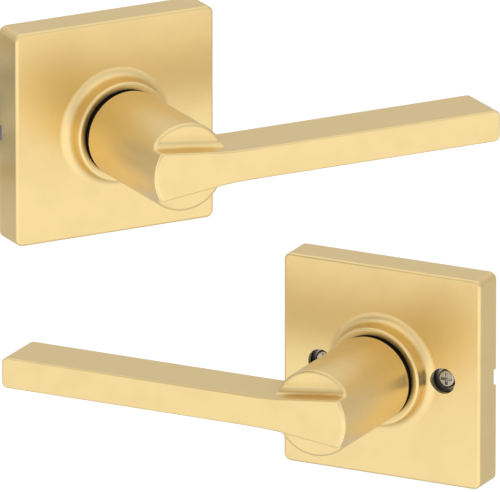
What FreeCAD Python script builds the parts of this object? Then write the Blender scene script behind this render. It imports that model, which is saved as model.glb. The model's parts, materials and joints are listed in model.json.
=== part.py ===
import FreeCAD, Part

import math
import os

# Lever handle lockset, in millimetres.
# Origin: where the spindle axis meets the back of the outside rose.
# +X runs along the outside lever, +Y goes into the door, +Z is up.
# Each trim is drawn in its own frame of that kind. The inside trim is the mirror image
# of the outside one and is set down beside it, turned about the vertical.

# Rose: a square formed plate with a raised collar
ROSE_SIZE = 66.0
ROSE_DEPTH = 11.0
ROSE_WALL = 1.6
ROSE_CORNER_R = 2.3
ROSE_EDGE_R = 0.9
COLLAR_R = 15.5
COLLAR_HEIGHT = 6.5
COLLAR_BORE_R = 13.3
FOOT_R = 3.0
COLLAR_EDGE_R = 0.8
NOTCH_HEIGHT = 5.0
NOTCH_DEPTH = 1.5

# Lever
SHANK_R = 13.5
SHANK_START = 19.6
SHANK_END = 56.7
PROJECTION = 63.1
BAR_DEPTH = 17.8
BAR_HALF_HEIGHT = 4.8
BAR_LENGTH = 102.0
BAR_TIP_R = 1.8
BAR_BACK_R = 2.2
ROOT_HALF_HEIGHT = 7.5
TAPER_END_X = 8.0
TAPER_END_HALF_HEIGHT = 5.35
BLEND_END_X = 22.0
ROOT_X = -math.sqrt(SHANK_R**2 - ROOT_HALF_HEIGHT**2)
TAPER_SLOPE = (TAPER_END_HALF_HEIGHT - ROOT_HALF_HEIGHT) / (TAPER_END_X - ROOT_X)
GROOVE_R = 2.4
FACET_RIM_R = 1.1
SHANK_RIM_R = 1.2
FRONT_RIM_R = 0.5
NECK_R = 11.95
NECK_END = 8.6
SLEEVE_BORE_DEPTH = 31.4

# Bushing between the lever neck and the collar
BUSHING_BORE_R = 12.0
BUSHING_R = 13.2
BUSHING_LIP_R = 12.9
BUSHING_LIP_END = 18.7
BUSHING_FLANGE_R = 15.0
BUSHING_FLANGE_THICKNESS = 1.0
BUSHING_RECESS = 0.3

# Sleeve, spindle and set screw
SLEEVE_R = 7.0
SLEEVE_START = 38.0
SLEEVE_END = 12.2
SLEEVE_FIT = 0.06
SQUARE_SOCKET = 8.1
SPINDLE_SIZE = 8.0
SPINDLE_START = 36.0
SPINDLE_END = 72.0
SPINDLE_CHAMFER = 0.8
SET_SCREW_R = 2.5
SET_SCREW_DEPTH = 30.0
SET_SCREW_TOP = 12.6
SET_SCREW_TIP = 4.1
SET_SCREW_CHAMFER = 0.4
SET_SCREW_FIT = 0.05
HEX_KEY = 2.5
HEX_DEPTH = 3.0

# Mounting plate and what fastens the trims together
PLATE_SIZE = 62.4
PLATE_FRONT = 3.4
PLATE_BACK = 1.4
PLATE_HUB_R = 10.0
PLATE_HUB_FRONT = 7.4
PLATE_NOTCH_DEPTH = 4.0
PLATE_CORNER_R = 1.0
SCREW_SPACING = 41.3
POST_R = 4.0
POST_END = 30.0
POST_RIM_R = 0.5
POST_SPIGOT_R = 2.5
POST_SPIGOT_PROUD = 0.6
POST_THREAD_R = 2.0
POST_THREAD_DEPTH = 22.0
SCREW_HOLE_R = 4.05
SCREW_SEAT_R = 5.2
SCREW_SEAT_FRONT = 7.2
SCREW_SHANK_R = 1.95
SCREW_PASSAGE_R = 2.3
SCREW_END = 19.0
SCREW_POINT_CHAMFER = 0.6
SCREW_HEAD_R = 2.9
SCREW_HEAD_HEIGHT = 1.6
SCREW_HEAD_RIM_R = 0.9
SCREW_RECESS_DEPTH = 1.3
RECESS_HALF_LENGTH = 1.9
RECESS_HALF_WIDTH = 0.55

# Return spring and the parts around it
CUP_R = 15.8
CUP_WALL = 1.0
CUP_END = 9.2
CUP_FLOOR = 1.2
CUP_RIM_R = 0.8
STOP_INNER_R = 11.0
STOP_WIDTH = 3.0
STOP_DEPTH = 4.0
STOP_ANGLE = 23.0
LEVER_TURN = 55.0
CAM_FRONT = 5.4
CAM_BACK = 7.2
CAM_R = 9.5
CAM_LUG_R = 14.2
CAM_LUG_WIDTH = 5.0
CAM_TANG_R = 12.9
CAM_TANG_FRONT = 1.0
SPRING_COIL_R = 11.6
SPRING_WIRE_R = 0.8
SPRING_PITCH = 1.65
SPRING_TURNS = 2.5
SPRING_START = 0.0
SPRING_LEG_FIT = 0.1
MOVING_LEG_GAP = 0.4
MOVING_LEG_ANGLE = 16.0
FIXED_LEG_ANGLE = MOVING_LEG_ANGLE + 180
RING_R = 9.2
RING_INNER_R = 6.4
RING_FRONT = 10.25
RING_BACK = 11.15
RING_GAP_HALF_WIDTH = 3.5
RING_FIT = 0.05

# Latch, on the spindle, running to -X
LATCH_Y = 22.0
BACKSET = 60.3
THROW = 11.0
FACEPLATE_THICKNESS = 2.0
FACEPLATE_WIDTH = 25.4
FACEPLATE_HEIGHT = 57.2
FACEPLATE_CORNER_R = 6.35
BACK_PLATE_THICKNESS = 1.5
BACK_PLATE_MARGIN = 1.0
FACEPLATE_SCREW_SPACING = 41.3
WOOD_SCREW_R = 2.0
WOOD_SCREW_HEAD_R = 4.1
WOOD_SCREW_HEAD_HEIGHT = 2.2
WOOD_SCREW_LENGTH = 20.0
WOOD_SCREW_POINT = 4.0
WOOD_SCREW_TIP_R = 0.2
WOOD_SCREW_RECESS_DEPTH = 1.2
COUNTERSINK_FIT = 0.1
FACEPLATE_HOLE_R = 2.3
BACK_PLATE_HOLE_R = 2.6
TUBE_R = 11.2
TUBE_WALL = 0.8
TUBE_END_X = -38.0
TUBE_END_WALL = 1.2
BOLT_HALF_WIDTH = 6.2
BOLT_HALF_HEIGHT = 8.1
BOLT_BACK_X = -54.3
BOLT_TIP_WIDTH = 3.0
BOLT_TIP_RIM_R = 0.8
BOLT_GAP = 0.2
TAIL_R = 2.4
TAIL_HOLE_R = 2.7
FORK_BACK_X = -37.8
FORK_BAR = 1.8
FORK_INNER_Z = 8.2
FORK_OUTER_Z = 11.0
FORK_FRONT_Y = 24.4
FORK_BACK_Y = 26.4
LUG_R = 1.2
LUG_X = -2.15
LUG_Z = 10.3
LUG_FRONT_Y = 20.4
ARM_END_MARGIN = 0.4
CASE_END_X = 30.0
CASE_HALF_HEIGHT = 11.2
CASE_FRONT_Y = 16.0
CASE_BACK_Y = 28.0
CASE_SHEET = 1.0
CASE_CORNER_R = 4.0
POST_HOLE_R = 4.6
HUB_R = 6.6
HUB_FIT = 0.06
HUB_SQUARE = 8.2
HUB_ARM_R = 12.8
HUB_ARM_WIDTH = 3.0
HUB_ARM_FRONT_Y = 20.6
HUB_ARM_BACK_Y = 23.6
RIVET_R = 1.3
RIVET_HEAD_R = 2.0
RIVET_HEAD = 0.6
RIVET_SPOTS = [(28.0, 8.0), (28.0, -8.0), (-14.9, 6.3), (-14.9, -6.3)]
BOLT_SPRING_R = 4.2
BOLT_SPRING_WIRE_R = 0.35
BOLT_SPRING_TURNS = 5
BOLT_SPRING_GAP = 0.05

# Where the inside trim stands
INSIDE_X = 105.4
INSIDE_Y = 8.0
INSIDE_Z = -94.8
INSIDE_TURN = -54.2

X_AXIS = FreeCAD.Vector(1, 0, 0)
Y_AXIS = FreeCAD.Vector(0, 1, 0)
Z_AXIS = FreeCAD.Vector(0, 0, 1)
ORIGIN = FreeCAD.Vector(0, 0, 0)
CLEAR = 1.0


def box(x0, x1, y0, y1, z0, z1):
    return Part.makeBox(x1 - x0, y1 - y0, z1 - z0, FreeCAD.Vector(x0, y0, z0))


def cylinder_y(radius, y0, y1, x=0.0, z=0.0):
    return Part.makeCylinder(radius, y1 - y0, FreeCAD.Vector(x, y0, z), Y_AXIS)


def cylinder_x(radius, x0, x1, y=0.0, z=0.0):
    return Part.makeCylinder(radius, x1 - x0, FreeCAD.Vector(x0, y, z), X_AXIS)


def square_bar(size, y0, y1):
    half = size / 2
    return box(-half, half, y0, y1, -half, half)


def round_edges(shape, radius, wanted):
    edges = [edge for edge in shape.Edges if wanted(edge)]
    return shape.makeFillet(radius, edges)


def lies_at_y(edge, y):
    return abs(edge.BoundBox.YMin - y) < 1e-4 and abs(edge.BoundBox.YMax - y) < 1e-4


def runs_along_y(edge):
    return edge.BoundBox.XLength < 1e-4 and edge.BoundBox.ZLength < 1e-4


def runs_along_x(edge):
    return edge.BoundBox.YLength < 1e-4 and edge.BoundBox.ZLength < 1e-4


def arc(start, middle, end):
    return Part.Arc(start, middle, end).toShape()


def spun_about_y(outline):
    return Part.Face(Part.Wire(outline)).revolve(ORIGIN, Y_AXIS, 360)


def turned_about_y(shape, degrees):
    turned = shape.copy()
    turned.rotate(ORIGIN, Y_AXIS, degrees)
    return turned


def coil(radius, wire_radius, pitch, turns):
    """Round wire wound about +Z, from z = 0 up."""
    path = Part.makeHelix(pitch, pitch * turns, radius)
    section = Part.Wire(Part.makeCircle(wire_radius, FreeCAD.Vector(radius, 0, 0), Y_AXIS))
    return Part.Wire(path).makePipeShell([section], True, True)


# The rose


def collar():
    face = -ROSE_DEPTH
    top = face - COLLAR_HEIGHT
    foot_top = face - FOOT_R
    inside = face + ROSE_WALL / 2
    foot_x = COLLAR_R + FOOT_R
    edge_slack = COLLAR_EDGE_R * (1 - math.sqrt(0.5))
    foot_slack = FOOT_R * math.sqrt(0.5)
    bore_low = FreeCAD.Vector(COLLAR_BORE_R, inside, 0)
    bore_top = FreeCAD.Vector(COLLAR_BORE_R, top, 0)
    rim_start = FreeCAD.Vector(COLLAR_R - COLLAR_EDGE_R, top, 0)
    rim_middle = FreeCAD.Vector(COLLAR_R - edge_slack, top + edge_slack, 0)
    rim_end = FreeCAD.Vector(COLLAR_R, top + COLLAR_EDGE_R, 0)
    shoulder = FreeCAD.Vector(COLLAR_R, foot_top, 0)
    hollow = FreeCAD.Vector(foot_x - foot_slack, foot_top + foot_slack, 0)
    foot = FreeCAD.Vector(foot_x, face, 0)
    foot_low = FreeCAD.Vector(foot_x, inside, 0)
    outline = [
        Part.makeLine(bore_low, bore_top),
        Part.makeLine(bore_top, rim_start),
        arc(rim_start, rim_middle, rim_end),
        Part.makeLine(rim_end, shoulder),
        arc(shoulder, hollow, foot),
        Part.makeLine(foot, foot_low),
        Part.makeLine(foot_low, bore_low),
    ]
    return spun_about_y(outline)


def rose():
    half = ROSE_SIZE / 2
    inner = half - ROSE_WALL
    shell = box(-half, half, -ROSE_DEPTH, 0, -half, half)
    shell = round_edges(shell, ROSE_CORNER_R, runs_along_y)
    shell = round_edges(shell, ROSE_EDGE_R, lambda edge: lies_at_y(edge, -ROSE_DEPTH))
    pocket = box(-inner, inner, ROSE_WALL - ROSE_DEPTH, CLEAR, -inner, inner)
    pocket = round_edges(pocket, ROSE_CORNER_R - ROSE_WALL, runs_along_y)
    shell = shell.cut(pocket).fuse(collar())
    shell = shell.cut(cylinder_y(COLLAR_BORE_R, -ROSE_DEPTH - CLEAR, 0))
    half_notch = NOTCH_HEIGHT / 2
    notch = box(-half - CLEAR, -inner + CLEAR, -NOTCH_DEPTH, CLEAR, -half_notch, half_notch)
    return shell.cut(notch).removeSplitter()


def screw_places():
    return [-SCREW_SPACING / 2, SCREW_SPACING / 2]


def inside_rose():
    shell = rose()
    for x in screw_places():
        shell = shell.cut(cylinder_y(SCREW_HOLE_R, -ROSE_DEPTH - COLLAR_HEIGHT, 0, x))
    return shell


# The lever


def bar_edge(side):
    """One long edge of the lever's front outline, from the shank to the tip; side is +1 above, -1 below."""
    bend_x = TAPER_END_X + (BAR_HALF_HEIGHT - TAPER_END_HALF_HEIGHT) / TAPER_SLOPE
    root = FreeCAD.Vector(ROOT_X, 0, side * ROOT_HALF_HEIGHT)
    taper_end = FreeCAD.Vector(TAPER_END_X, 0, side * TAPER_END_HALF_HEIGHT)
    bend = FreeCAD.Vector(bend_x, 0, side * BAR_HALF_HEIGHT)
    blend_end = FreeCAD.Vector(BLEND_END_X, 0, side * BAR_HALF_HEIGHT)
    straight_end = FreeCAD.Vector(BAR_LENGTH - BAR_TIP_R, 0, side * BAR_HALF_HEIGHT)
    tip_slack = BAR_TIP_R * (1 - math.sqrt(0.5))
    tip_middle = FreeCAD.Vector(BAR_LENGTH - tip_slack, 0, side * (BAR_HALF_HEIGHT - tip_slack))
    tip = FreeCAD.Vector(BAR_LENGTH, 0, side * (BAR_HALF_HEIGHT - BAR_TIP_R))
    blend = Part.BezierCurve()
    blend.setPoles([taper_end, bend, blend_end])
    return [
        Part.makeLine(root, taper_end),
        blend.toShape(),
        Part.makeLine(blend_end, straight_end),
        arc(straight_end, tip_middle, tip),
    ]


def prism(edges, front_y, back_y):
    """The solid whose outline, seen from the front, is these edges."""
    face = Part.Face(Part.Wire(Part.__sortEdges__(edges)))
    solid = face.extrude(FreeCAD.Vector(0, back_y - front_y, 0))
    solid.translate(FreeCAD.Vector(0, front_y, 0))
    return solid


def bar():
    tip_z = BAR_HALF_HEIGHT - BAR_TIP_R
    end = Part.makeLine(FreeCAD.Vector(BAR_LENGTH, 0, tip_z), FreeCAD.Vector(BAR_LENGTH, 0, -tip_z))
    low_root = FreeCAD.Vector(ROOT_X, 0, -ROOT_HALF_HEIGHT)
    high_root = FreeCAD.Vector(ROOT_X, 0, ROOT_HALF_HEIGHT)
    shank_arc = arc(low_root, FreeCAD.Vector(-SHANK_R, 0, 0), high_root)
    outline = bar_edge(1) + [end] + bar_edge(-1) + [shank_arc]
    solid = prism(outline, -PROJECTION, BAR_DEPTH - PROJECTION)
    solid = round_edges(solid, SHANK_RIM_R, lambda edge: lies_at_y(edge, -PROJECTION) and on_shank(edge))
    solid = round_edges(
        solid,
        FRONT_RIM_R,
        lambda edge: lies_at_y(edge, -PROJECTION) and edge.BoundBox.XMax > ROOT_X,
    )
    return solid.cut(bar_back_corner())


def bar_back_corner():
    """What rounding the back of the bar's end takes away."""
    centre_x = BAR_LENGTH - BAR_BACK_R
    back_y = BAR_DEPTH - PROJECTION
    centre_y = back_y - BAR_BACK_R
    height = 2 * BAR_HALF_HEIGHT
    corner = box(centre_x, BAR_LENGTH + CLEAR, centre_y, back_y + CLEAR, -height, height)
    low = FreeCAD.Vector(centre_x, centre_y, -height)
    return corner.cut(Part.makeCylinder(BAR_BACK_R, 2 * height, low, Z_AXIS))


def facet_cutter(side):
    """The space in front of one facet of the shank's end, rounded where it meets the bar."""
    far_x = 2 * SHANK_R
    far_z = side * far_x
    blend = bar_edge(side)[1]
    start = FreeCAD.Vector(-far_x, 0, side * (ROOT_HALF_HEIGHT - TAPER_SLOPE * (far_x + ROOT_X)))
    taper_end = FreeCAD.Vector(TAPER_END_X, 0, side * TAPER_END_HALF_HEIGHT)
    level_start = FreeCAD.Vector(BLEND_END_X, 0, side * BAR_HALF_HEIGHT)
    level_end = FreeCAD.Vector(far_x, 0, side * BAR_HALF_HEIGHT)
    right_corner = FreeCAD.Vector(far_x, 0, far_z)
    left_corner = FreeCAD.Vector(-far_x, 0, far_z)
    outline = [
        Part.makeLine(start, taper_end),
        blend,
        Part.makeLine(level_start, level_end),
        Part.makeLine(level_end, right_corner),
        Part.makeLine(right_corner, left_corner),
        Part.makeLine(left_corner, start),
    ]
    solid = prism(outline, -PROJECTION, -SHANK_END)
    return round_edges(
        solid,
        GROOVE_R,
        lambda edge: lies_at_y(edge, -SHANK_END) and abs(edge.BoundBox.Center.z) < SHANK_R,
    )


def on_shank(edge):
    middle = edge.valueAt((edge.FirstParameter + edge.LastParameter) / 2)
    return abs(math.hypot(middle.x, middle.z) - SHANK_R) < 1e-3


def shank():
    solid = cylinder_y(SHANK_R, FRONT_RIM_R - PROJECTION, -SHANK_START)
    solid = round_edges(solid, FRONT_RIM_R, lambda edge: lies_at_y(edge, -SHANK_START))
    for side in (-1, 1):
        solid = solid.cut(facet_cutter(side))
    return round_edges(solid, FACET_RIM_R, lambda edge: lies_at_y(edge, -SHANK_END) and on_shank(edge))


def lever():
    solid = shank().fuse(bar())
    solid = solid.fuse(cylinder_y(NECK_R, -SHANK_START - CLEAR, -NECK_END)).removeSplitter()
    solid = solid.cut(cylinder_y(SLEEVE_R + SLEEVE_FIT, -NECK_END - SLEEVE_BORE_DEPTH, 0))
    return solid.cut(set_screw_hole())


# What sits in the lever


def set_screw_hole():
    top = FreeCAD.Vector(0, -SET_SCREW_DEPTH, -SHANK_R - CLEAR)
    return Part.makeCylinder(SET_SCREW_R + SET_SCREW_FIT, SHANK_R + CLEAR, top, Z_AXIS)


def set_screw():
    end = FreeCAD.Vector(0, -SET_SCREW_DEPTH, -SET_SCREW_TOP)
    screw = Part.makeCylinder(SET_SCREW_R, SET_SCREW_TOP - SET_SCREW_TIP, end, Z_AXIS)
    rims = [edge for edge in screw.Edges if edge.BoundBox.ZLength < 1e-4]
    screw = screw.makeChamfer(SET_SCREW_CHAMFER, rims)
    socket_r = HEX_KEY / math.sqrt(3)
    corners = []
    for step in range(7):
        angle = math.radians(60 * step)
        corners.append(end + FreeCAD.Vector(socket_r * math.cos(angle), socket_r * math.sin(angle), 0))
    socket = Part.Face(Part.makePolygon(corners)).extrude(FreeCAD.Vector(0, 0, HEX_DEPTH))
    return screw.cut(socket)


def bushing():
    body = cylinder_y(BUSHING_R, BUSHING_RECESS - ROSE_DEPTH - COLLAR_HEIGHT, -ROSE_DEPTH + ROSE_WALL)
    lip = cylinder_y(BUSHING_LIP_R, -BUSHING_LIP_END, -ROSE_DEPTH)
    flange_front = ROSE_WALL - ROSE_DEPTH
    flange = cylinder_y(BUSHING_FLANGE_R, flange_front, flange_front + BUSHING_FLANGE_THICKNESS)
    return body.fuse([lip, flange]).cut(cylinder_y(BUSHING_BORE_R, -SHANK_START, 0)).removeSplitter()


def sleeve():
    tube = cylinder_y(SLEEVE_R, -SLEEVE_START, SLEEVE_END)
    tube = tube.cut(square_bar(SQUARE_SOCKET, -SLEEVE_START - CLEAR, SLEEVE_END + CLEAR))
    groove = cylinder_y(SLEEVE_R + CLEAR, RING_FRONT - RING_FIT, RING_BACK + RING_FIT)
    groove = groove.cut(cylinder_y(RING_INNER_R - RING_FIT, RING_FRONT - CLEAR, RING_BACK + CLEAR))
    return tube.cut(groove).cut(set_screw_hole())


def retaining_ring():
    ring = cylinder_y(RING_R, RING_FRONT, RING_BACK).cut(cylinder_y(RING_INNER_R, RING_FRONT, RING_BACK))
    return ring.cut(box(-RING_GAP_HALF_WIDTH, RING_GAP_HALF_WIDTH, RING_FRONT, RING_BACK, -RING_R, 0))


def spindle():
    bar_solid = square_bar(SPINDLE_SIZE, -SPINDLE_START, SPINDLE_END)
    ends = [edge for edge in bar_solid.Edges if edge.BoundBox.YLength < 1e-4]
    return bar_solid.makeChamfer(SPINDLE_CHAMFER, ends)


# Behind the rose


def mounting_plate():
    half = PLATE_SIZE / 2
    plate = box(-half, half, -PLATE_FRONT, -PLATE_BACK, -half, half)
    plate = round_edges(plate, PLATE_CORNER_R, runs_along_y)
    plate = plate.fuse(cylinder_y(PLATE_HUB_R, -PLATE_HUB_FRONT, -PLATE_BACK))
    notch = box(-half - CLEAR, PLATE_NOTCH_DEPTH - half, -PLATE_FRONT, 0, -NOTCH_HEIGHT, NOTCH_HEIGHT)
    return plate.cut(notch).cut(cylinder_y(SLEEVE_R + SLEEVE_FIT, -ROSE_DEPTH, 0))


def outside_mounting_plate():
    plate = mounting_plate()
    for x in screw_places():
        plate = plate.cut(cylinder_y(POST_SPIGOT_R, -ROSE_DEPTH, 0, x))
    return plate.removeSplitter()


def inside_mounting_plate():
    plate = mounting_plate()
    for x in screw_places():
        plate = plate.fuse(cylinder_y(SCREW_SEAT_R, -SCREW_SEAT_FRONT, -PLATE_BACK, x))
    for x in screw_places():
        plate = plate.cut(cylinder_y(SCREW_PASSAGE_R, -ROSE_DEPTH, 0, x))
    return plate.removeSplitter()


def mounting_posts():
    posts = []
    for x in screw_places():
        post = cylinder_y(POST_R, -PLATE_BACK, POST_END, x)
        post = round_edges(post, POST_RIM_R, lambda edge: lies_at_y(edge, POST_END))
        post = post.fuse(cylinder_y(POST_SPIGOT_R, -PLATE_FRONT - POST_SPIGOT_PROUD, -PLATE_BACK, x))
        posts.append(post.cut(cylinder_y(POST_THREAD_R, POST_END - POST_THREAD_DEPTH, POST_END + CLEAR, x)))
    return Part.makeCompound(posts)


def cross_recess(y0, y1, x=0.0):
    length = RECESS_HALF_LENGTH
    width = RECESS_HALF_WIDTH
    upright = box(x - width, x + width, y0, y1, -length, length)
    level = box(x - length, x + length, y0, y1, -width, width)
    return upright.fuse(level)


def through_screws():
    screws = []
    head_top = -SCREW_SEAT_FRONT - SCREW_HEAD_HEIGHT
    for x in screw_places():
        head = cylinder_y(SCREW_HEAD_R, head_top, -SCREW_SEAT_FRONT, x)
        head = round_edges(head, SCREW_HEAD_RIM_R, lambda edge: lies_at_y(edge, head_top))
        shank = cylinder_y(SCREW_SHANK_R, -SCREW_SEAT_FRONT, SCREW_END, x)
        point = [edge for edge in shank.Edges if lies_at_y(edge, SCREW_END)]
        shank = shank.makeChamfer(SCREW_POINT_CHAMFER, point)
        recess = cross_recess(head_top - CLEAR, head_top + SCREW_RECESS_DEPTH, x)
        screws.append(head.fuse(shank).cut(recess))
    return Part.makeCompound(screws)


def spring_stop(degrees):
    half = STOP_WIDTH / 2
    floor_y = CUP_END - CUP_FLOOR / 2
    wall_r = CUP_R - CUP_WALL / 2
    block = box(-half, half, CUP_END - STOP_DEPTH, floor_y, STOP_INNER_R, wall_r)
    return turned_about_y(block, degrees)


def spring_cup():
    cup = cylinder_y(CUP_R, -PLATE_BACK, CUP_END)
    cup = round_edges(cup, CUP_RIM_R, lambda edge: lies_at_y(edge, CUP_END))
    cup = cup.cut(cylinder_y(CUP_R - CUP_WALL, -PLATE_BACK, CUP_END - CUP_FLOOR))
    for degrees in (-STOP_ANGLE, LEVER_TURN + STOP_ANGLE):
        cup = cup.fuse(spring_stop(degrees))
    cup = cup.cut(cylinder_y(SLEEVE_R + SLEEVE_FIT, 0, CUP_END + CLEAR))
    return cup.cut(fixed_leg(SPRING_WIRE_R + SPRING_LEG_FIT)).removeSplitter()


def spring_leg(radius, y, reach, degrees):
    start = FreeCAD.Vector(0, y, SPRING_COIL_R)
    leg = Part.makeCylinder(radius, reach, start, Z_AXIS)
    return turned_about_y(leg, degrees)


def fixed_leg(radius):
    return spring_leg(radius, SPRING_START, CUP_R - SPRING_COIL_R, FIXED_LEG_ANGLE)


def return_spring():
    wound = coil(SPRING_COIL_R, SPRING_WIRE_R, SPRING_PITCH, SPRING_TURNS)
    wound.rotate(ORIGIN, X_AXIS, -90)
    wound.translate(FreeCAD.Vector(0, SPRING_START, 0))
    wound = turned_about_y(wound, FIXED_LEG_ANGLE - 90)
    end_y = SPRING_START + SPRING_PITCH * SPRING_TURNS
    reach = CUP_R - CUP_WALL - SPRING_COIL_R - MOVING_LEG_GAP
    moving_leg = spring_leg(SPRING_WIRE_R, end_y, reach, MOVING_LEG_ANGLE)
    return wound.fuse([fixed_leg(SPRING_WIRE_R), moving_leg])


def spring_cam():
    half = CAM_LUG_WIDTH / 2
    cam = cylinder_y(CAM_R, CAM_FRONT, CAM_BACK)
    cam = cam.fuse(box(-half, half, CAM_FRONT, CAM_BACK, 0, CAM_LUG_R))
    cam = cam.fuse(box(-half, half, CAM_TANG_FRONT, CAM_BACK, CAM_TANG_R, CAM_LUG_R))
    return cam.cut(cylinder_y(SLEEVE_R, 0, CUP_END)).removeSplitter()


# The latch


def faceplate_blank(width, height, thickness, corner):
    blank = box(0, thickness, LATCH_Y - width / 2, LATCH_Y + width / 2, -height / 2, height / 2)
    return round_edges(blank, corner, runs_along_x)


def bolt_opening(x0, x1):
    width = BOLT_HALF_WIDTH + BOLT_GAP
    height = BOLT_HALF_HEIGHT + BOLT_GAP
    return box(x0, x1, LATCH_Y - width, LATCH_Y + width, -height, height)


def faceplate_screw_places():
    return [-FACEPLATE_SCREW_SPACING / 2, FACEPLATE_SCREW_SPACING / 2]


def countersunk_head(top_x, z, extra):
    low = WOOD_SCREW_R + extra
    high = WOOD_SCREW_HEAD_R + extra
    return Part.makeCone(high, low, WOOD_SCREW_HEAD_HEIGHT, FreeCAD.Vector(top_x, LATCH_Y, z), X_AXIS)


def latch_faceplate():
    plate = faceplate_blank(FACEPLATE_WIDTH, FACEPLATE_HEIGHT, FACEPLATE_THICKNESS, FACEPLATE_CORNER_R)
    plate.translate(FreeCAD.Vector(-BACKSET, 0, 0))
    plate = plate.cut(bolt_opening(-BACKSET - CLEAR, 0))
    for z in faceplate_screw_places():
        plate = plate.cut(countersunk_head(-BACKSET, z, COUNTERSINK_FIT))
        plate = plate.cut(cylinder_x(FACEPLATE_HOLE_R, -BACKSET, 0, LATCH_Y, z))
    return plate


def latch_back_plate():
    width = FACEPLATE_WIDTH - 2 * BACK_PLATE_MARGIN
    height = FACEPLATE_HEIGHT - 2 * BACK_PLATE_MARGIN
    corner = FACEPLATE_CORNER_R - BACK_PLATE_MARGIN
    plate = faceplate_blank(width, height, BACK_PLATE_THICKNESS, corner)
    front = FACEPLATE_THICKNESS - BACKSET
    plate.translate(FreeCAD.Vector(front, 0, 0))
    plate = plate.cut(cylinder_x(TUBE_R - TUBE_WALL, front - CLEAR, 0, LATCH_Y, 0))
    for z in faceplate_screw_places():
        plate = plate.cut(cylinder_x(BACK_PLATE_HOLE_R, front - CLEAR, 0, LATCH_Y, z))
    return plate


def latch_tube():
    front = FACEPLATE_THICKNESS + BACK_PLATE_THICKNESS - BACKSET
    tube = cylinder_x(TUBE_R, front, TUBE_END_X, LATCH_Y, 0)
    tube = tube.cut(cylinder_x(TUBE_R - TUBE_WALL, front, TUBE_END_X - TUBE_END_WALL, LATCH_Y, 0))
    return tube.cut(cylinder_x(TAIL_HOLE_R, front, 0, LATCH_Y, 0))


def latch_bolt():
    tip_x = -BACKSET - THROW
    low_y = LATCH_Y - BOLT_HALF_WIDTH
    high_y = LATCH_Y + BOLT_HALF_WIDTH
    bolt = box(tip_x, BOLT_BACK_X, low_y, high_y, -BOLT_HALF_HEIGHT, BOLT_HALF_HEIGHT)
    bevel = [
        FreeCAD.Vector(-BACKSET, high_y, 0),
        FreeCAD.Vector(tip_x, low_y + BOLT_TIP_WIDTH, 0),
        FreeCAD.Vector(tip_x - CLEAR, low_y + BOLT_TIP_WIDTH, 0),
        FreeCAD.Vector(tip_x - CLEAR, high_y + CLEAR, 0),
        FreeCAD.Vector(-BACKSET, high_y + CLEAR, 0),
        FreeCAD.Vector(-BACKSET, high_y, 0),
    ]
    wedge = Part.Face(Part.makePolygon(bevel)).extrude(FreeCAD.Vector(0, 0, 4 * BOLT_HALF_HEIGHT))
    wedge.translate(FreeCAD.Vector(0, 0, -2 * BOLT_HALF_HEIGHT))
    bolt = bolt.cut(wedge)
    tip = [edge for edge in bolt.Edges if edge.BoundBox.XMax < tip_x + 1e-4]
    return bolt.makeFillet(BOLT_TIP_RIM_R, tip)


def latch_tail():
    return cylinder_x(TAIL_R, BOLT_BACK_X, FORK_BACK_X, LATCH_Y, 0)


def latch_bolt_spring():
    span = TUBE_END_X - TUBE_END_WALL - BOLT_BACK_X
    margin = BOLT_SPRING_WIRE_R + BOLT_SPRING_GAP
    pitch = (span - 2 * margin) / BOLT_SPRING_TURNS
    wound = coil(BOLT_SPRING_R, BOLT_SPRING_WIRE_R, pitch, BOLT_SPRING_TURNS)
    wound.rotate(ORIGIN, Y_AXIS, 90)
    wound.translate(FreeCAD.Vector(BOLT_BACK_X + margin, LATCH_Y, 0))
    return wound


def latch_retractor():
    bar_end = FORK_BACK_X + FORK_BAR
    arm_end = LUG_X + LUG_R + ARM_END_MARGIN
    fork = box(FORK_BACK_X, bar_end, LATCH_Y - TAIL_R, FORK_BACK_Y, -FORK_OUTER_Z, FORK_OUTER_Z)
    for side in (-1, 1):
        inner = side * FORK_INNER_Z
        outer = side * FORK_OUTER_Z
        low, high = sorted((inner, outer))
        fork = fork.fuse(box(FORK_BACK_X, arm_end, FORK_FRONT_Y, FORK_BACK_Y, low, high))
        fork = fork.fuse(cylinder_y(LUG_R, LUG_FRONT_Y, FORK_BACK_Y, LUG_X, side * LUG_Z))
    return fork.removeSplitter()


def latch_hub():
    half = HUB_ARM_WIDTH / 2
    hub = cylinder_y(HUB_R, CASE_FRONT_Y, CASE_BACK_Y)
    for degrees in (-LEVER_TURN / 2, 180 + LEVER_TURN / 2):
        arm = box(-half, half, HUB_ARM_FRONT_Y, HUB_ARM_BACK_Y, 0, HUB_ARM_R)
        hub = hub.fuse(turned_about_y(arm, degrees))
    return hub.cut(square_bar(HUB_SQUARE, CASE_FRONT_Y - CLEAR, CASE_BACK_Y + CLEAR)).removeSplitter()


def latch_case_plate(front_y):
    back_y = front_y + CASE_SHEET
    plate = box(TUBE_END_X, CASE_END_X, front_y, back_y, -CASE_HALF_HEIGHT, CASE_HALF_HEIGHT)
    ends = [edge for edge in plate.Edges if runs_along_y(edge) and edge.BoundBox.XMax > 0]
    plate = plate.makeFillet(CASE_CORNER_R, ends)
    plate = plate.cut(cylinder_y(HUB_R + HUB_FIT, front_y, back_y))
    for x in screw_places():
        plate = plate.cut(cylinder_y(POST_HOLE_R, front_y, back_y, x))
    for x, z in RIVET_SPOTS:
        plate = plate.cut(cylinder_y(RIVET_R, front_y, back_y, x, z))
    return plate


def latch_rivets():
    rivets = []
    for x, z in RIVET_SPOTS:
        rivet = cylinder_y(RIVET_R, CASE_FRONT_Y, CASE_BACK_Y, x, z)
        rivet = rivet.fuse(cylinder_y(RIVET_HEAD_R, CASE_FRONT_Y - RIVET_HEAD, CASE_FRONT_Y, x, z))
        rivet = rivet.fuse(cylinder_y(RIVET_HEAD_R, CASE_BACK_Y, CASE_BACK_Y + RIVET_HEAD, x, z))
        rivets.append(rivet.removeSplitter())
    return Part.makeCompound(rivets)


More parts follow.
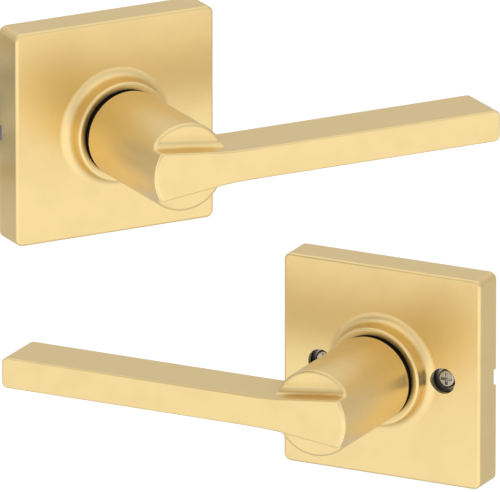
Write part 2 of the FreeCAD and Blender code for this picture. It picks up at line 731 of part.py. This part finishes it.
def faceplate_screws():
    screws = []
    for z in faceplate_screw_places():
        head = countersunk_head(-BACKSET, z, 0)
        shank_end = WOOD_SCREW_LENGTH - WOOD_SCREW_POINT - BACKSET
        shank = cylinder_x(WOOD_SCREW_R, WOOD_SCREW_HEAD_HEIGHT - BACKSET, shank_end, LATCH_Y, z)
        shoulder = FreeCAD.Vector(shank_end, LATCH_Y, z)
        tip = Part.makeCone(WOOD_SCREW_R, WOOD_SCREW_TIP_R, WOOD_SCREW_POINT, shoulder, X_AXIS)
        recess = cross_recess(-CLEAR, WOOD_SCREW_RECESS_DEPTH)
        recess.rotate(ORIGIN, Z_AXIS, -90)
        recess.translate(FreeCAD.Vector(-BACKSET, LATCH_Y, z))
        screws.append(head.fuse([shank, tip]).cut(recess))
    return Part.makeCompound(screws)


# Putting it together


def set_down(shape):
    """Mirror a piece of trim and stand it where the inside trim is."""
    placed = shape.mirror(ORIGIN, X_AXIS)
    placed.rotate(ORIGIN, Z_AXIS, INSIDE_TURN)
    placed.translate(FreeCAD.Vector(INSIDE_X, INSIDE_Y, INSIDE_Z))
    return placed


def shared_trim():
    return {
        "lever": lever(),
        "bushing": bushing(),
        "sleeve": sleeve(),
        "set_screw": set_screw(),
        "spring_cup": spring_cup(),
        "return_spring": return_spring(),
        "spring_cam": spring_cam(),
        "retaining_ring": retaining_ring(),
    }


def all_pieces():
    pieces = {
        "outside_rose": rose(),
        "outside_mounting_plate": outside_mounting_plate(),
        "mounting_posts": mounting_posts(),
        "spindle": spindle(),
        "inside_rose": set_down(inside_rose()),
        "inside_mounting_plate": set_down(inside_mounting_plate()),
        "through_screws": set_down(through_screws()),
        "latch_faceplate": latch_faceplate(),
        "latch_back_plate": latch_back_plate(),
        "latch_tube": latch_tube(),
        "latch_case_left": latch_case_plate(CASE_FRONT_Y),
        "latch_case_right": latch_case_plate(CASE_BACK_Y - CASE_SHEET),
        "latch_rivets": latch_rivets(),
        "latch_hub": latch_hub(),
        "latch_retractor": latch_retractor(),
        "latch_tail": latch_tail(),
        "latch_bolt": latch_bolt(),
        "latch_bolt_spring": latch_bolt_spring(),
        "faceplate_screws": faceplate_screws(),
    }
    for name, shape in shared_trim().items():
        pieces["outside_" + name] = shape
        pieces["inside_" + name] = set_down(shape)
    return pieces


def main():
    os.makedirs("parts", exist_ok=True)
    for name, shape in all_pieces().items():
        shape.exportStep("parts/" + name + ".step")
        print(name, "solids", len(shape.Solids), "valid", shape.isValid(), "volume", round(shape.Volume, 1))


main()
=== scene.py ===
import json

import bpy
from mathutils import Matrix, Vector


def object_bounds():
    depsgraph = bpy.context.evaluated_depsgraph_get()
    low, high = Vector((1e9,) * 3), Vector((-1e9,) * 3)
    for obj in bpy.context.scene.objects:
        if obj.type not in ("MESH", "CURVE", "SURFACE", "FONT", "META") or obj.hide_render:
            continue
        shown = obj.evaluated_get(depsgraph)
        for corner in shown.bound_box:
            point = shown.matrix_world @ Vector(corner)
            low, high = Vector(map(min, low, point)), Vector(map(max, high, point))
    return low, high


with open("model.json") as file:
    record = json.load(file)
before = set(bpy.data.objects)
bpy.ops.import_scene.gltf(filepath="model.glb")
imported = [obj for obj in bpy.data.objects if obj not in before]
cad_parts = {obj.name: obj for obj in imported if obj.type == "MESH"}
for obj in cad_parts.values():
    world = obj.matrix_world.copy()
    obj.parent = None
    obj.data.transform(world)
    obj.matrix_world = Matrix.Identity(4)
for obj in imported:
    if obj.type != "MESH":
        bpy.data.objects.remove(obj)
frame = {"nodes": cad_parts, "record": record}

# The looks of a lever handle lockset. Everything is in metres, in the frame of the CAD model:
# +X along the outside lever, +Y into the door, +Z up.

nodes = frame["nodes"]
cad_low, cad_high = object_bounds()

MM = 0.001

# Finish of the metals
CLOUD_SIZE = 9 * MM
SPECK_SIZE = 0.6 * MM
# Width of the rubbed edges, painted lighter both as wear and as a painted edge highlight.
RUBBED_AND_HIGHLIGHT_EDGE = 0.7 * MM
EDGE_SAMPLES = 6
MOST_DULLING = 0.35
MOST_SPECKLING = 0.25
GRAIN_SHEEN = 0.03
RUB_POLISH = 0.10
GRAIN_STRENGTH = 0.6

# Finish of the nylon
NYLON_CLOUD_SIZE = 4 * MM
NYLON_GRAIN = 0.15 * MM
NYLON_GRAIN_DEPTH = 0.01 * MM
NYLON_SCUFFED_EDGE = 0.4 * MM

# Floor, far enough down for the inside lever to turn above it
FLOOR_HALF = 5.0
FLOOR_GAP = 0.052
FLOOR_SHADE_SIZE = 0.30
FLOOR_GLOW = 0.16

# Light, as brightness of the tent
FRONT = (-0.42, -0.90, 0.0)
UP = (0.0, 0.0, 1.0)
DOWN = (0.0, 0.0, -1.0)
BASE_LIGHT = 0.60
FRONT_LIGHT = 0.62
ABOVE_LIGHT = 0.50
TABLE_LIGHT = 0.14

# Camera
SENSOR_WIDTH = 36.0
LENS = 1440.0
CLIP_START = 0.1
CLIP_END = 30.0
CAMERA_PLACE = (-2.5903, -5.0602, 1.7767)
CAMERA_LOOK = (0.44075, 0.84441, -0.30448)


# Node helpers


def new_material(name):
    material = bpy.data.materials.new(name)
    material.use_nodes = True
    tree = material.node_tree
    tree.nodes.clear()
    output = tree.nodes.new("ShaderNodeOutputMaterial")
    shader = tree.nodes.new("ShaderNodeBsdfPrincipled")
    tree.links.new(shader.outputs["BSDF"], output.inputs["Surface"])
    return material, tree, shader


def position(tree):
    return tree.nodes.new("ShaderNodeTexCoord").outputs["Object"]


def noise(tree, vector, feature, detail=3.0, roughness=0.5):
    """Noise whose blobs are about this many metres across."""
    texture = tree.nodes.new("ShaderNodeTexNoise")
    texture.inputs["Scale"].default_value = 1 / feature
    texture.inputs["Detail"].default_value = detail
    texture.inputs["Roughness"].default_value = roughness
    tree.links.new(vector, texture.inputs["Vector"])
    return texture.outputs["Fac"]


def remap(tree, value, low, high, to_low=0.0, to_high=1.0):
    node = tree.nodes.new("ShaderNodeMapRange")
    node.interpolation_type = "SMOOTHSTEP"
    node.inputs["From Min"].default_value = low
    node.inputs["From Max"].default_value = high
    node.inputs["To Min"].default_value = to_low
    node.inputs["To Max"].default_value = to_high
    tree.links.new(value, node.inputs["Value"])
    return node.outputs["Result"]


def math_node(tree, operation, first, second):
    node = tree.nodes.new("ShaderNodeMath")
    node.operation = operation
    for socket, value in zip(node.inputs, (first, second)):
        if isinstance(value, (int, float)):
            socket.default_value = value
        else:
            tree.links.new(value, socket)
    return node.outputs["Value"]


def mix_colour(tree, factor, first, second):
    node = tree.nodes.new("ShaderNodeMix")
    node.data_type = "RGBA"
    tree.links.new(factor, node.inputs["Factor"])
    for name, value in (("A", first), ("B", second)):
        socket = [s for s in node.inputs if s.name == name and s.type == "RGBA"][0]
        if isinstance(value, tuple):
            socket.default_value = (*value, 1.0)
        else:
            tree.links.new(value, socket)
    return [s for s in node.outputs if s.type == "RGBA"][0]


def bump(tree, height, depth, strength):
    """A bump this many metres deep."""
    node = tree.nodes.new("ShaderNodeBump")
    node.inputs["Strength"].default_value = strength
    node.inputs["Distance"].default_value = depth
    tree.links.new(height, node.inputs["Height"])
    return node.outputs["Normal"]


def edge_mask(tree, radius):
    """1 along sharp or tightly rounded edges, 0 elsewhere."""
    bevel = tree.nodes.new("ShaderNodeBevel")
    bevel.samples = EDGE_SAMPLES
    bevel.inputs["Radius"].default_value = radius
    geometry = tree.nodes.new("ShaderNodeNewGeometry")
    dot = tree.nodes.new("ShaderNodeVectorMath")
    dot.operation = "DOT_PRODUCT"
    tree.links.new(bevel.outputs["Normal"], dot.inputs[0])
    tree.links.new(geometry.outputs["Normal"], dot.inputs[1])
    return remap(tree, dot.outputs["Value"], 0.99, 0.80)


# Materials


def satin_metal(name, colour, worn_and_highlight, dirty, roughness, grain, grain_depth, wear_and_highlight=0.5):
    """Metal with a fine grain, uneven sheen, a little dulling, and rubbed edges painted lighter: real
    wear, and a painted edge highlight as well.
    """
    material, tree, shader = new_material(name)
    place = position(tree)
    clouds = noise(tree, place, CLOUD_SIZE, detail=4.0)
    specks = noise(tree, place, SPECK_SIZE, detail=2.0)
    fine = noise(tree, place, grain, detail=2.0, roughness=0.6)
    edges = edge_mask(tree, RUBBED_AND_HIGHLIGHT_EDGE)
    # Rubbed edges get the lighter worn colour: real wear, and a painted edge highlight too.
    rub_and_highlight = math_node(tree, "MULTIPLY", edges, remap(tree, clouds, 0.35, 0.60, 0.4 * wear_and_highlight, wear_and_highlight))
    dulled = mix_colour(tree, remap(tree, clouds, 0.40, 0.75, 0.0, MOST_DULLING), colour, dirty)
    speckled = mix_colour(tree, remap(tree, specks, 0.62, 0.80, 0.0, MOST_SPECKLING), dulled, dirty)
    tree.links.new(mix_colour(tree, rub_and_highlight, speckled, worn_and_highlight), shader.inputs["Base Color"])
    shader.inputs["Metallic"].default_value = 1.0
    uneven = remap(tree, clouds, 0.30, 0.70, roughness - 0.012, roughness + 0.015)
    grain_sheen = remap(tree, fine, 0.3, 0.7, -GRAIN_SHEEN, GRAIN_SHEEN)
    grainy = math_node(tree, "ADD", uneven, grain_sheen)
    polished = math_node(tree, "SUBTRACT", grainy, math_node(tree, "MULTIPLY", rub_and_highlight, RUB_POLISH))
    tree.links.new(polished, shader.inputs["Roughness"])
    tree.links.new(bump(tree, fine, grain_depth, GRAIN_STRENGTH), shader.inputs["Normal"])
    return material


def satin_brass():
    return satin_metal(
        "satin_brass",
        colour=(0.84, 0.650, 0.315),
        # Lighter colour of the rubbed edges: worn brass and painted edge highlight.
        worn_and_highlight=(0.95, 0.80, 0.50),
        dirty=(0.79, 0.600, 0.300),
        roughness=0.36,
        grain=0.12 * MM,
        grain_depth=0.004 * MM,
        wear_and_highlight=0.7,
    )


def brass_screws():
    return satin_metal(
        "brass_screws",
        colour=(0.80, 0.60, 0.29),
        worn_and_highlight=(0.92, 0.76, 0.45),
        dirty=(0.62, 0.45, 0.21),
        roughness=0.30,
        grain=0.10 * MM,
        grain_depth=0.004 * MM,
    )


def zinc_steel():
    return satin_metal(
        "zinc_steel",
        colour=(0.60, 0.61, 0.63),
        worn_and_highlight=(0.78, 0.79, 0.80),
        dirty=(0.47, 0.47, 0.46),
        roughness=0.40,
        grain=0.25 * MM,
        grain_depth=0.010 * MM,
    )


def nickel_steel():
    return satin_metal(
        "nickel_steel",
        # A dark nickel colour: painted shade for the screw heads, which sit in shadow down in their
        # holes.
        colour=(0.42, 0.40, 0.37),
        worn_and_highlight=(0.90, 0.88, 0.83),
        dirty=(0.30, 0.285, 0.26),
        roughness=0.24,
        grain=0.12 * MM,
        grain_depth=0.003 * MM,
    )


def dark_steel():
    return satin_metal(
        "dark_steel",
        colour=(0.10, 0.10, 0.11),
        worn_and_highlight=(0.42, 0.42, 0.43),
        dirty=(0.06, 0.06, 0.06),
        roughness=0.42,
        grain=0.15 * MM,
        grain_depth=0.006 * MM,
    )


def spring_steel():
    return satin_metal(
        "spring_steel",
        colour=(0.44, 0.45, 0.47),
        worn_and_highlight=(0.62, 0.63, 0.65),
        dirty=(0.26, 0.25, 0.24),
        roughness=0.30,
        grain=0.10 * MM,
        grain_depth=0.004 * MM,
    )


def black_nylon():
    material, tree, shader = new_material("black_nylon")
    place = position(tree)
    clouds = noise(tree, place, NYLON_CLOUD_SIZE, detail=3.0)
    fine = noise(tree, place, NYLON_GRAIN, detail=2.0)
    colour = mix_colour(tree, clouds, (0.003, 0.003, 0.003), (0.006, 0.006, 0.005))
    scuff = math_node(tree, "MULTIPLY", edge_mask(tree, NYLON_SCUFFED_EDGE), 0.5)
    scuffed = mix_colour(tree, scuff, colour, (0.02, 0.018, 0.016))
    tree.links.new(scuffed, shader.inputs["Base Color"])
    tree.links.new(remap(tree, clouds, 0.3, 0.7, 0.55, 0.70), shader.inputs["Roughness"])
    shader.inputs["Specular IOR Level"].default_value = 0.12
    tree.links.new(bump(tree, fine, NYLON_GRAIN_DEPTH, 0.5), shader.inputs["Normal"])
    return material


def paint_nodes():
    makers = {
        "satin_brass": satin_brass,
        "brass_screws": brass_screws,
        "zinc_steel": zinc_steel,
        "nickel_steel": nickel_steel,
        "dark_steel": dark_steel,
        "spring_steel": spring_steel,
        "black_nylon": black_nylon,
    }
    materials = {slot: make() for slot, make in makers.items()}
    for part in frame["record"]["subparts"]:
        for slot in nodes[part["node"]].material_slots:
            slot.material = materials[part["material_slot"]]


# Studio


def floor():
    half = FLOOR_HALF
    z = cad_low.z - FLOOR_GAP
    corners = [(-half, -half, z), (half, -half, z), (half, half, z), (-half, half, z)]
    mesh = bpy.data.meshes.new("floor")
    mesh.from_pydata(corners, [], [(0, 1, 2, 3)])
    plane = bpy.data.objects.new("floor", mesh)
    bpy.context.scene.collection.objects.link(plane)
    material, tree, shader = new_material("floor_paint")
    shade = noise(tree, position(tree), FLOOR_SHADE_SIZE, detail=2.0)
    paint = mix_colour(tree, shade, (0.97, 0.97, 0.97), (0.98, 0.98, 0.98))
    tree.links.new(paint, shader.inputs["Base Color"])
    shader.inputs["Roughness"].default_value = 0.9
    shader.inputs["Specular IOR Level"].default_value = 0.1
    shader.inputs["Emission Color"].default_value = (1.0, 1.0, 1.0, 1.0)
    shader.inputs["Emission Strength"].default_value = FLOOR_GLOW
    mesh.materials.append(material)
    plane.visible_glossy = False


def lobe(tree, looked_at, direction, start, end, amount):
    """A soft patch of light centred on a direction, from cosine start, where it's dark, to cosine end."""
    dot = tree.nodes.new("ShaderNodeVectorMath")
    dot.operation = "DOT_PRODUCT"
    dot.inputs[1].default_value = Vector(direction).normalized()
    tree.links.new(looked_at, dot.inputs[0])
    return remap(tree, dot.outputs["Value"], start, end, 0.0, amount)


def studio_light():
    """A light tent: bright above and in front, with a pale table below, and dimmer behind."""
    world = bpy.data.worlds.new("studio")
    bpy.context.scene.world = world
    world.use_nodes = True
    tree = world.node_tree
    tree.nodes.clear()
    background = tree.nodes.new("ShaderNodeBackground")
    output = tree.nodes.new("ShaderNodeOutputWorld")
    tree.links.new(background.outputs["Background"], output.inputs["Surface"])
    looked_at = tree.nodes.new("ShaderNodeTexCoord").outputs["Generated"]
    background.inputs["Color"].default_value = (1.0, 1.0, 1.0, 1.0)
    front = lobe(tree, looked_at, FRONT, -0.2, 0.8, FRONT_LIGHT)
    lower_part = lobe(tree, looked_at, DOWN, -0.7, 0.3, 1.0)
    low_front = math_node(tree, "MULTIPLY", front, lower_part)
    strength = BASE_LIGHT
    for light in (
        low_front,
        lobe(tree, looked_at, UP, 0.2, 0.95, ABOVE_LIGHT),
        lobe(tree, looked_at, DOWN, -0.5, 0.3, TABLE_LIGHT),
    ):
        strength = math_node(tree, "ADD", light, strength)
    tree.links.new(strength, background.inputs["Strength"])


def camera():
    """The viewpoint: from the front left, above the trims, through a very long lens."""
    data = bpy.data.cameras.new("camera")
    data.sensor_width = SENSOR_WIDTH
    data.lens = LENS
    data.clip_start = CLIP_START
    data.clip_end = CLIP_END
    eye = bpy.data.objects.new("camera", data)
    bpy.context.scene.collection.objects.link(eye)
    eye.location = CAMERA_PLACE
    eye.rotation_mode = "QUATERNION"
    eye.rotation_quaternion = Vector(CAMERA_LOOK).to_track_quat("-Z", "Y")
    bpy.context.scene.camera = eye


paint_nodes()
floor()
studio_light()
camera()
bpy.context.scene.view_settings.view_transform = "Standard"
